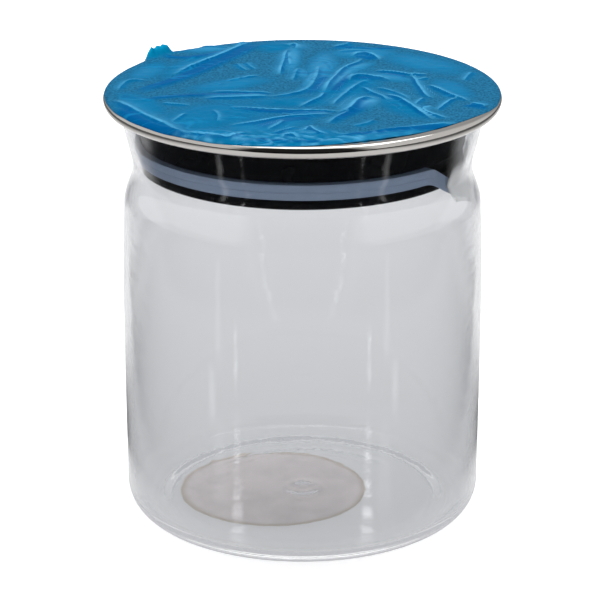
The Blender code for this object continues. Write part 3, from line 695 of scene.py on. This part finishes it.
class JAR_OT_base_label(bpy.types.Operator):
    """Cuts the paper label under the jar"""

    bl_idname = "airtight_jar.base_label"
    bl_label = "Base label"

    def execute(self, context):
        settings = context.scene.jar_packaging
        low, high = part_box("base_label")
        middle = (low + high) / 2
        radius = settings.label_radius
        rings = [(radius * share, 0.0) for share in np.linspace(0.0, 1.0, 27)]
        bm = spin(profile(rings, unit=1.0), LABEL_STEPS)
        face_up(bm)
        edge = bm.verts.layers.float.new("edge")
        for vert in bm.verts:
            far = vert.co.xy.length / radius
            turn = math.atan2(vert.co.y, vert.co.x)
            vert[edge] = float(ease((far - 0.93) / 0.07)) * 0.9
            cockle = noise.noise(Vector((math.cos(turn), math.sin(turn), far)) * 2.4)
            vert.co.z += 0.10 * MM * far * far * cockle
        bmesh.ops.solidify(bm, geom=bm.faces, thickness=0.12 * MM)
        stuck_at = (middle.x, middle.y - LABEL_SHIFT * MM, middle.z)
        bmesh.ops.translate(bm, vec=stuck_at, verts=bm.verts)
        finish_piece("paper_label", bm, label_paper(settings), "jar", "base_label")
        return {"FINISHED"}


class JAR_OT_packing_strip(bpy.types.Operator):
    """Tucks the frosted strip between the seal and the glass"""

    bl_idname = "airtight_jar.packing_strip"
    bl_label = "Packing strip"

    def execute(self, context):
        settings = context.scene.jar_packaging
        top_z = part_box("packing_strip")[1].z / MM
        bm = bmesh.new()
        bmesh.ops.create_grid(bm, x_segments=48, y_segments=60, size=0.5)
        milky = bm.verts.layers.float.new("milky")
        for vert in bm.verts:
            across, up = vert.co.x + 0.5, vert.co.y + 0.5
            foot = STRIP_FOOT - STRIP_SLANT * across + 0.35 * math.sin(across * 9.0)
            top = top_z + 0.25 * math.sin(across * 7.0) - 0.25
            z = foot + (top - foot) * up
            start = np.interp(z, *STRIP_EDGE)
            turn = math.radians(start + (STRIP_END - start) * across)
            vert[milky] = float(ease((108.5 - z) / 5.0) * ease((across + 0.04) / 0.10))
            wave = noise.noise(Vector((across * 4.0, up * 5.0, 3.0)))
            radius = wall_at(z)[0] - STRIP_GAP + 0.04 * wave
            vert.co = Vector((radius * math.cos(turn), radius * math.sin(turn), z)) * MM
        bmesh.ops.recalc_face_normals(bm, faces=bm.faces)
        bmesh.ops.solidify(bm, geom=bm.faces, thickness=0.06 * MM)
        mat = frosted_polyethylene(settings)
        finish_piece("frosted_strip", bm, mat, "jar", "packing_strip")
        return {"FINISHED"}


class JAR_OT_steel_cap(bpy.types.Operator):
    """Presses the steel cap and rolls its edge"""

    bl_idname = "airtight_jar.steel_cap"
    bl_label = "Steel cap"

    def execute(self, context):
        points = [(r, CAP_TOP) for r in (0.0, 20, 40, 50)]
        points += arc(RIM_CENTRE, RIM_Z, RIM_RADIUS, 90, -90, 28)
        points += [(51.6, 118.7), (51.6, 119.2)]
        points += arc(RIM_CENTRE, RIM_Z, RIM_RADIUS - CAP_SHEET, -90, 90, 16)
        points = [(r, z if z > RIM_Z else RIM_Z + (z - RIM_Z) * RIM_DEEPER) for r, z in points]
        points += [(50, CAP_TOP - CAP_SHEET), (0.0, CAP_TOP - CAP_SHEET)]
        bm = spin(profile(points), CAP_STEPS)
        mat = polished_steel(context.scene.jar_lid)
        finish_piece("pressed_cap", bm, mat, "lid", "steel_cap", 50)
        return {"FINISHED"}


class JAR_OT_lid_plug(bpy.types.Operator):
    """Moulds the hollow plug with its ribs and hub"""

    bl_idname = "airtight_jar.lid_plug"
    bl_label = "Lid plug"

    def execute(self, context):
        # Over the flange inside the cap's rolled edge, and down to the wall
        points = [(0.0, 120.7), (50, 120.7)]
        points += arc(RIM_CENTRE, RIM_Z, 0.6, 90, -90, 10)
        points += [(51.3, 119.5), (51.3, 118.7)]
        points += arc(45.7, 117.9, 0.8, 90, 180, 8)
        foot = len(points)
        points += PLUG_SECTION
        bm = spin(profile(points, [(13, 0.15), (foot, 0.3), (foot + 5, 0.3)]))
        for i in range(4):
            rib = bmesh.ops.create_cube(bm, size=1.0)["verts"]
            bmesh.ops.scale(bm, vec=Vector(RIB_SIZE) * MM, verts=rib)
            bmesh.ops.translate(bm, vec=(0.0, 0.0, RIB_Z * MM), verts=rib)
            turn = Matrix.Rotation(math.radians(45 * i + RIB_TURN), 3, "Z")
            bmesh.ops.rotate(bm, verts=rib, cent=(0, 0, 0), matrix=turn)
        mat = moulded_polypropylene("black_polypropylene_plug", context.scene.jar_lid, 0.26)
        finish_piece("moulded_plug", bm, mat, "lid", "lid_plug")
        return {"FINISHED"}


class JAR_OT_plug_base(bpy.types.Operator):
    """Moulds the plug's base, whose rim holds the seal"""

    bl_idname = "airtight_jar.plug_base"
    bl_label = "Plug base"

    def execute(self, context):
        bm = spin(profile(BASE_SECTION, BASE_ROUNDS))
        mat = moulded_polypropylene("black_polypropylene_base", context.scene.jar_lid, 0.24)
        finish_piece("moulded_base", bm, mat, "lid", "plug_base")
        return {"FINISHED"}


class JAR_OT_seal_ring(bpy.types.Operator):
    """Moulds the silicone seal with its two lips"""

    bl_idname = "airtight_jar.seal_ring"
    bl_label = "Seal ring"

    def execute(self, context):
        bottom, top = (corner.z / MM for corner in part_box("seal_ring"))
        points = []
        for share in np.linspace(0.0, 1.0, 29):
            z = top + (bottom - top) * share
            valley = SEAL_VALLEY * (1 - abs(math.sin(2 * math.pi * share)) ** 0.5)
            points.append((wall_at(z)[0] - SEAL_GAP - valley, z))
        points += [(SEAL_BACK, bottom), (SEAL_BACK, top)]
        bm = spin(profile(points, closed=True))
        # The strip has dragged the seal down out of its groove on the right and pressed it thin
        for vert in bm.verts:
            turn = math.degrees(math.atan2(vert.co.y, vert.co.x))
            dragged = float(ease((turn + 45.0) / 20.0) * ease((14.0 - turn) / 10.0))
            radius = vert.co.xy.length / MM
            vert.co.z -= SEAL_DRAG * MM * dragged
            thin = SEAL_PRESSED + (radius - SEAL_BACK) * 0.03
            flat = min(radius, wall_at(vert.co.z / MM)[0] - SEAL_GAP)
            flat += (thin - flat) * float(ease(dragged * 4))
            vert.co.x *= flat / radius
            vert.co.y *= flat / radius
        mat = moulded_silicone(context.scene.jar_lid)
        finish_piece("silicone_seal", bm, mat, "lid", "seal_ring", 60)
        return {"FINISHED"}


def smooth_line(points, spacing=1.0):
    """A line of points made smooth and even, in millimetres."""
    line = np.array(points, float)
    for _ in range(3):
        near = 0.75 * line[:-1] + 0.25 * line[1:]
        far = 0.25 * line[:-1] + 0.75 * line[1:]
        line = np.vstack([line[:1], np.stack([near, far], 1).reshape(-1, 2), line[-1:]])
    along = np.concatenate([[0.0], np.cumsum(np.linalg.norm(np.diff(line, axis=0), axis=1))])
    even = np.linspace(0.0, along[-1], max(4, int(along[-1] / spacing) + 1))
    return np.stack([np.interp(even, along, line[:, k]) for k in (0, 1)], 1)


def beside(places, points):
    """How far each place is beside a line, to its left as positive, and how far along as a share."""
    line = smooth_line(points)
    best = np.full(len(places), np.inf)
    side = np.zeros(len(places))
    share = np.zeros(len(places))
    for i, (a, b) in enumerate(zip(line, line[1:])):
        step = b - a
        reach = places - a
        t = np.clip(reach @ step / (step @ step), 0.0, 1.0)
        off = reach - t[:, None] * step
        gap = np.linalg.norm(off, axis=1)
        nearer = gap < best
        best = np.where(nearer, gap, best)
        side = np.where(nearer, np.sign(step[0] * off[:, 1] - step[1] * off[:, 0]), side)
        share = np.where(nearer, (i + t) / (len(line) - 1), share)
    return best * np.where(side == 0, 1, side), share


def ends_faded(share, steepness):
    """Fades a line out towards both its ends."""
    return ease(share * steepness) * ease((1 - share) * steepness)


def clouds(places, size, seed):
    """Smooth noise from -1 to 1 over places in millimetres, with lumps of a size."""
    return np.array([noise.noise(Vector((x / size, y / size, seed))) for x, y in places])


def film_shape(places):
    """Height in millimetres and the values that colour the film, by name, at places in millimetres."""
    # A raised fold shows further back than it stands, so at the front the lines stand nearer than they show
    nearer_by = 2.2 * ease((45.0 - places[:, 1]) / 40.0)
    places = places + np.stack([np.zeros(len(places)), nearer_by], 1)
    height, crest, double, loose, tucked, raised, highlight_line = np.zeros((7, len(places)))
    for x, y, long, wide, turn, tall, pale in FILM_BLISTERS:
        c, s = math.cos(math.radians(turn)), math.sin(math.radians(turn))
        dx, dy = places[:, 0] - x, places[:, 1] - y
        far = np.hypot((dx * c + dy * s) / long, (dy * c - dx * s) / wide)
        height = np.maximum(height, tall * ease(1.25 - far))
        loose = np.maximum(loose, ease(1.45 - far))
        crest = np.maximum(crest, pale * ease(1.2 - far))
    for wide, tall, line in FILM_TUCKS:
        off, share = beside(places, line)
        inside = wide - np.abs(off)
        flat = ease(inside / (0.45 * wide)) * ends_faded(share, 6)
        tucked = np.maximum(tucked, flat * tall * (0.75 + 0.25 * off / wide))
        double = np.maximum(double, ease(inside / (0.6 * wide)) * ends_faded(share, 5))
    beside_line = np.full(len(places), 4.0)
    uneven_highlight = 0.9 + 0.4 * clouds(places, 4.5, 12.0)
    for wide, tall, pale, line in FILM_RIDGES:
        off, share = beside(places, line)
        if line[-1][0] < line[0][0]:
            off = -off
        ends = np.sqrt(ends_faded(share, 4))
        width = np.where(off > 0, 1.5 * wide, 0.9 * wide)
        raised = np.maximum(raised, tall * np.exp(-((off / width) ** 2)) * ends)
        drawn = off * PLAIN_RIDGE / wide
        nearer = (np.abs(drawn) < np.abs(beside_line)) & (ends > 0.02)
        beside_line = np.where(nearer, drawn, beside_line)
        highlight_line = np.where(nearer, pale * ends * uneven_highlight, highlight_line)
        loose = np.maximum(loose, 0.85 * np.exp(-((off / (3.2 * wide)) ** 2)) * ends)
        # The slope behind a fold gets a painted highlight too, in part the film's stretch-whitening, and it
        # fades out over a few millimetres
        slope = ease(off / (0.6 * wide)) * np.exp(-((off / (3.0 * wide)) ** 2))
        crest = np.maximum(crest, 0.5 * pale * slope * ends * uneven_highlight)
    tags = {"loose": np.maximum(loose, double), "double": double, "crest": crest, "highlight_line": highlight_line}
    tags = {name: np.clip(tag, 0, 1) for name, tag in tags.items()}
    return height * 0.8 + tucked + raised, tags | {"beside_line": beside_line}


def film_flap(places):
    """How high the film's torn-up corner stands, and how much light falls through it, at places."""
    off, share = beside(places, FILM_TEAR)
    peak = ease((0.27 - np.abs(share - 0.34)) / 0.10) + 0.35 * np.exp(-(((share - 0.42) / 0.3) ** 2))
    fall = np.exp(-((off / 1.7) ** 2))
    rumple = 0.9 + 0.30 * clouds(places, 1.7, 5.0) + 0.20 * clouds(places, 0.9, 7.0)
    bright = peak * fall * (0.75 + 0.6 * clouds(places, 1.3, 8.0))
    return FLAP_HEIGHT * peak * fall * rumple, np.clip(bright, 0, 1)


class JAR_OT_protective_film(bpy.types.Operator):
    """Lays the creased protective film on the cap"""

    bl_idname = "airtight_jar.protective_film"
    bl_label = "Protective film"

    def execute(self, context):
        settings = context.scene.jar_film
        # The disc is turned with a radius of 1 and then drawn out to the cut edge
        rings = list(np.linspace(0.0, 0.965, 84)) + [0.974, 0.982, 0.989, 0.995, 1.0]
        bm = spin(profile([(ring, 0.0) for ring in rings], unit=1.0), FILM_STEPS)
        face_up(bm)
        co = np.array([vert.co for vert in bm.verts])
        turn = np.degrees(np.arctan2(co[:, 1], co[:, 0])) % 360
        way = np.radians(turn)
        ragged = 0.12 * clouds(np.stack([30 * np.cos(way), 30 * np.sin(way)], 1), 4.5, 2.0)
        edge = np.interp(turn, *zip(*FILM_EDGE))
        radius = np.hypot(co[:, 0], co[:, 1])
        edge = np.minimum(edge + ragged * ease((radius - 0.8) / 0.2), FILM_RADIUS)
        places = co[:, :2] * edge[:, None]
        height, tags = film_shape(places)
        flap, torn = film_flap(places)
        fine = clouds(places * (1.0, 0.6), 1.6, 9.0) * (0.35 + tags["loose"])
        # Towards the front edge the film is gathered into small crinkles
        front = ease((-38 - places[:, 1]) / 8)
        gather = ease(1 - 3.2 * np.abs(clouds(places * (0.55, 0.8), 2.6, 4.0))) * front
        # It lies flat on the cap, bends down over the rolled edge, and settles towards its cut edge
        far = np.hypot(places[:, 0], places[:, 1])
        past = np.clip(far - RIM_CENTRE, 0.0, RIM_RADIUS - 0.01)
        base = RIM_Z + np.sqrt(RIM_RADIUS ** 2 - past ** 2)
        settle = ease((edge - far + 0.3) / 2.0) * 0.85 + 0.15
        lift = (height + gather * 0.45 + settings.wrinkle / MM * (fine + 1)) * settle + flap
        lift = np.clip(lift, 0.0, FILM_HIGHEST)
        # Painted highlights on the crinkles
        crinkle_highlight = 0.75 * gather * ease(1.6 * clouds(places, 3.1, 6.0) + 0.5)
        tags["crest"] = np.clip(tags["crest"] + crinkle_highlight, 0, 1)
        tags["lifted"] = torn
        tags["loose"] = np.maximum(tags["loose"], np.maximum(front, ease(torn * 4)))
        for name, values in tags.items():
            layer = bm.verts.layers.float.new(name)
            for vert, value in zip(bm.verts, values):
                vert[layer] = float(value)
        for vert, (x, y), z in zip(bm.verts, places, base + lift + FILM_GAP):
            vert.co = Vector((x, y, z)) * MM
        bm.normal_update()
        bmesh.ops.solidify(bm, geom=bm.faces, thickness=settings.thickness)
        mat = blown_polyethylene_film(settings)
        film = finish_piece("creased_film", bm, mat, "film", "protective_film", 180)
        return {"FINISHED"}


def mirrored_once(add, light):
    """Is 1 for a ray that sharp glass has mirrored once, at either face of its wall."""
    once = add("Math", {0: light.outputs["Glossy Depth"], 1: 1.0, 2: 0.5}, operation="COMPARE")
    return add("Math", {0: once, 1: light.outputs["Is Singular Ray"]}, operation="MULTIPLY")


def lit_paper(add, parts, light, ring, satin, paper):
    """Paper that is white to the camera's eye, and a little greyer where glass looks through at it."""
    level = add("MapRange", {"Value": ring, "From Min": 0.3, "From Max": 1.0, "To Min": 0.56})
    glow = add("Emission", {"Strength": level})
    seen = add("AddShader", {0: paper, 1: glow})
    # Satin steel sees a quarter of that glow
    most = add("Math", {0: satin, 1: 0.25}, operation="MULTIPLY")
    most = add("Math", {0: most, 1: light.outputs["Is Camera Ray"]}, operation="MAXIMUM")
    eye = add("MixShader", {0: most, 1: paper, 2: seen})
    behind = add("MapRange", {"Value": parts.outputs["Y"], "From Min": -0.06, "From Max": 0.30,
                              "To Min": 0.605, "To Max": 0.87})
    even = add("Emission", {"Color": linear("#FDFDFF"), "Strength": behind})
    soft = add("MixShader", {0: 0.80, 1: paper, 2: even})
    return add("MixShader", {0: light.outputs["Is Transmission Ray"], 1: eye, 2: soft})


def painted_room_reflection(add, parts, light, ring, satin, mirrored):
    """Where the paper is painted near black for rays that glass and steel mirror: a painted reflection of the
    room behind the camera.
    """
    near = add("MapRange", {"Value": parts.outputs["Y"], "From Min": 0.14, "From Max": 0.05},
               interpolation_type="SMOOTHSTEP")
    # The inner face of the wall mirrors the paper beside the jar as well, which stays pale
    side = add("Math", {0: parts.outputs["X"]}, operation="ABSOLUTE")
    over = add("MapRange", {"Value": side, "From Min": 0.08, "From Max": 0.16, "To Max": 0.20})
    back = add("Math", {0: parts.outputs["Y"], 1: over}, operation="SUBTRACT")
    band = add("MapRange", {"Value": back, "From Min": 0.0, "From Max": -0.06},
               interpolation_type="SMOOTHSTEP")
    front = add("Mix", {SHARE: light.outputs["Is Transmission Ray"], FIRST: near, SECOND: band})
    clear = add("MapRange", {"Value": ring, "From Min": 0.060, "From Max": 0.080},
                interpolation_type="SMOOTHSTEP")
    painted_dark = add("Math", {0: front, 1: clear}, operation="MULTIPLY")
    painted_dark = add("Math", {0: painted_dark, 1: mirrored}, operation="MULTIPLY")
    # Satin steel loses the paper only where it ends
    end = add("MapRange", {"Value": parts.outputs["Y"], "From Min": -0.27, "From Max": -0.34})
    edges = add("MapRange", {"Value": side, "From Min": 0.15, "From Max": 0.34, "To Max": 0.85})
    ends = add("Math", {0: edges, 1: end}, operation="MAXIMUM")
    satin = add("Math", {0: satin, 1: ends}, operation="MULTIPLY")
    return add("Math", {0: painted_dark, 1: satin}, operation="MAXIMUM")


def painted_strip_glow(add, parts, glow_strip):
    """The painted glow of one strip in the paper and of its mirror image."""
    shift, x, y, turn, width, start, end, strength = glow_strip
    dx, dy = math.sin(math.radians(turn)), -math.cos(math.radians(turn))
    moved = add("Math", {0: parts.outputs["X"], 1: shift}, operation="SUBTRACT")
    moved = add("Math", {0: moved}, operation="ABSOLUTE")
    here = add("CombineXYZ", {"X": moved, "Y": parts.outputs["Y"]})
    reach = add("VectorMath", {0: here, 1: (x, y, 0.0)}, operation="SUBTRACT")
    along = add("VectorMath", {0: reach, 1: (dx, dy, 0.0)}, operation="DOT_PRODUCT")
    off = add("VectorMath", {0: reach, 1: (-dy, dx, 0.0)}, operation="DOT_PRODUCT")
    off = add("Math", {0: off}, operation="ABSOLUTE")
    across = add("MapRange", {"Value": off, "From Min": width, "From Max": width * 0.3},
                 interpolation_type="SMOOTHSTEP")
    first = add("MapRange", {"Value": along, "From Min": start, "From Max": start + 0.02, "To Max": strength})
    last = add("MapRange", {"Value": along, "From Min": end, "From Max": end - 0.03})
    shine = add("Math", {0: first, 1: last}, operation="MULTIPLY")
    shine = add("Math", {0: across, 1: shine}, operation="MULTIPLY")
    if strength <= 1:
        return shine
    # The brightest painted streaks are broken into beads, 4 mm apart on the paper, as chill marks of the mould
    # would break them
    rung = add("Math", {0: off, 1: 0.15}, operation="MULTIPLY")
    rungs = add("CombineXYZ", {"X": along, "Y": rung})
    beads = add("TexNoise", {"Vector": rungs, "Scale": 1 / (4 * MM)})
    beads = add("MapRange", {"Value": beads, "From Min": 0.47, "From Max": 0.58, "To Min": 0.08})
    return add("Math", {0: shine, 1: beads}, operation="MULTIPLY")


def paper_floor(settings):
    """Pale studio paper, with strips of painted glow that the polished wall draws out into upright streaks, and
    a painted reflection of the dark room near the jar.
    """
    mat, add, place = new_material("studio_paper")
    parts = add("SeparateXYZ", {"Vector": place})
    light = add("LightPath")
    ring = add("VectorMath", {0: place}, operation="LENGTH")
    satin = add("Math", {0: light.outputs["Is Glossy Ray"], 1: light.outputs["Is Reflection Ray"]},
                operation="MULTIPLY")
    mirrored = mirrored_once(add, light)
    paper = add("BsdfDiffuse", {"Color": linear(settings.floor)})
    lit = lit_paper(add, parts, light, ring, satin, paper)
    dark = painted_room_reflection(add, parts, light, ring, satin, mirrored)
    # Near black paper for mirrored rays near the jar: a painted reflection of the dark room
    room = add("BsdfDiffuse", {"Color": linear("#101010")})
    both = add("MixShader", {0: dark, 1: lit, 2: room})
    glowing = 0.0
    for glow_strip in GLOWING_STRIPS:
        glowing = add("Math", {0: painted_strip_glow(add, parts, glow_strip), 1: glowing})
    glowing = add("Math", {0: glowing, 1: mirrored}, operation="MULTIPLY")
    strip_glows = add("Emission", {"Strength": glowing})
    add("OutputMaterial", {"Surface": add("AddShader", {0: both, 1: strip_glows})})
    return mat


def studio_world():
    """A white studio: even light, a dark room behind the camera and a dim back wall for what mirrors it."""
    world = bpy.data.worlds.new("studio")
    bpy.context.scene.world = world
    world.use_nodes = True
    world.node_tree.nodes.clear()
    add = partial(add_node, world.node_tree)
    light = add("LightPath")
    parts = add("SeparateXYZ", {"Vector": add("TexCoord").outputs["Generated"]})
    level = add("CombineXYZ", {"X": parts.outputs["X"], "Y": parts.outputs["Y"]})
    level = add("VectorMath", {0: level}, operation="NORMALIZE")
    ahead = add("SeparateXYZ", {"Vector": level}).outputs["Y"]
    # The room and the back wall: over which ways each fades in, and over which heights it ends
    walls = []
    for ways, heights in (((-0.70, -0.88), (0.99, 0.93)), ((0.55, 0.85), (0.75, 0.55))):
        faced = add("MapRange", {"Value": ahead, "From Min": ways[0], "From Max": ways[1]},
                    interpolation_type="SMOOTHSTEP")
        low = add("MapRange", {"Value": parts.outputs["Z"], "From Min": heights[0], "From Max": heights[1]})
        walls.append(add("Math", {0: faced, 1: low}, operation="MULTIPLY"))
    room, wall = walls
    dim = add("Math", {0: wall, 1: 0.5}, operation="MULTIPLY")
    shade = add("Math", {0: room, 1: dim}, operation="MAXIMUM")
    mirrored = add("MapRange", {"Value": shade, "To Min": 0.85, "To Max": 0.02})
    glossy = add("Mix", {SHARE: light.outputs["Is Glossy Ray"], FIRST: 0.45, SECOND: mirrored})
    inner = add("Math", {0: mirrored_once(add, light), 1: room}, operation="MULTIPLY")
    beyond = add("MapRange", {"Value": inner, "To Min": 0.87, "To Max": 0.02})
    through = add("Mix", {SHARE: light.outputs["Is Transmission Ray"], FIRST: glossy, SECOND: beyond})
    strength = add("Mix", {SHARE: light.outputs["Is Camera Ray"], FIRST: through, SECOND: 1.0})
    sky = add("Background", {"Color": linear("#FFFFFF"), "Strength": strength})
    add("OutputWorld", {"Surface": sky})


def softbox(name, place, aim, size, power):
    """A rectangular lamp that looks at a point."""
    lamp = bpy.data.lights.new(name, "AREA")
    lamp.shape = "RECTANGLE"
    lamp.size, lamp.size_y = size
    lamp.energy = power
    obj = bpy.data.objects.new(name, lamp)
    bpy.context.scene.collection.objects.link(obj)
    obj.location = place
    obj.rotation_euler = (Vector(aim) - Vector(place)).to_track_quat("-Z", "Y").to_euler()
    return obj


class JAR_OT_studio(bpy.types.Operator):
    """Sets up the floor, the lamps and the camera"""

    bl_idname = "airtight_jar.studio"
    bl_label = "Studio"

    def execute(self, context):
        settings = context.scene.jar_studio
        bm = bmesh.new()
        bmesh.ops.create_circle(bm, cap_ends=True, segments=96, radius=3.0)
        mesh = bpy.data.meshes.new("floor")
        bm.to_mesh(mesh)
        bm.free()
        floor = bpy.data.objects.new("floor", mesh)
        context.scene.collection.objects.link(floor)
        mesh.materials.append(paper_floor(settings))
        studio_world()
        softbox("overhead", (0.0, 0.30, 1.20), (0.0, 0.0, 0.1), (1.1, 0.8), 8.5)
        for side, turn in (("left", -55.0), ("right", 57.0)):
            way = math.radians(turn)
            place = (1.1 * math.sin(way), -1.1 * math.cos(way), 0.50)
            strip = softbox(f"strip_{side}", place, (0.0, 0.0, 0.2), (0.11, 1.0), 2.0)
            strip.visible_glossy = False
            strip.visible_transmission = False
        camera = bpy.data.cameras.new("camera")
        camera.sensor_width = 36.0
        camera.lens = settings.lens
        camera.clip_start = 0.01
        eye = bpy.data.objects.new("camera", camera)
        context.scene.collection.objects.link(eye)
        eye.location = EYE
        eye.rotation_euler = (math.radians(90) - settings.tilt, 0.0, EYE_TURN)
        context.scene.camera = eye
        context.scene.view_settings.view_transform = "Standard"
        return {"FINISHED"}


PIECES = (
    JAR_OT_glass_jar,
    JAR_OT_base_label,
    JAR_OT_packing_strip,
    JAR_OT_steel_cap,
    JAR_OT_lid_plug,
    JAR_OT_plug_base,
    JAR_OT_seal_ring,
    JAR_OT_protective_film,
    JAR_OT_studio,
)

SETTINGS = {
    "jar_glass": JarGlassSettings,
    "jar_packaging": PackagingSettings,
    "jar_lid": LidSettings,
    "jar_film": FilmSettings,
    "jar_studio": StudioSettings,
}


class JAR_PT_panel(bpy.types.Panel):
    """The jar's pieces and settings"""

    bl_label = "Airtight jar"
    bl_idname = "JAR_PT_panel"
    bl_space_type = "VIEW_3D"
    bl_region_type = "UI"
    bl_category = "Jar"

    def draw(self, context):
        for name, group in SETTINGS.items():
            box = self.layout.box()
            settings = getattr(context.scene, name)
            for prop in group.__annotations__:
                box.prop(settings, prop)
        for piece in PIECES:
            self.layout.operator(piece.bl_idname)


def register():
    for name, group in SETTINGS.items():
        bpy.utils.register_class(group)
        setattr(bpy.types.Scene, name, PointerProperty(type=group))
    for piece in PIECES + (JAR_PT_panel,):
        bpy.utils.register_class(piece)


def unregister():
    for piece in reversed(PIECES + (JAR_PT_panel,)):
        bpy.utils.unregister_class(piece)
    for name, group in reversed(SETTINGS.items()):
        delattr(bpy.types.Scene, name)
        bpy.utils.unregister_class(group)


def main():
    register()
    for piece in PIECES:
        group, name = piece.bl_idname.split(".")
        getattr(getattr(bpy.ops, group), name)()


if __name__ == "__main__":
    main()
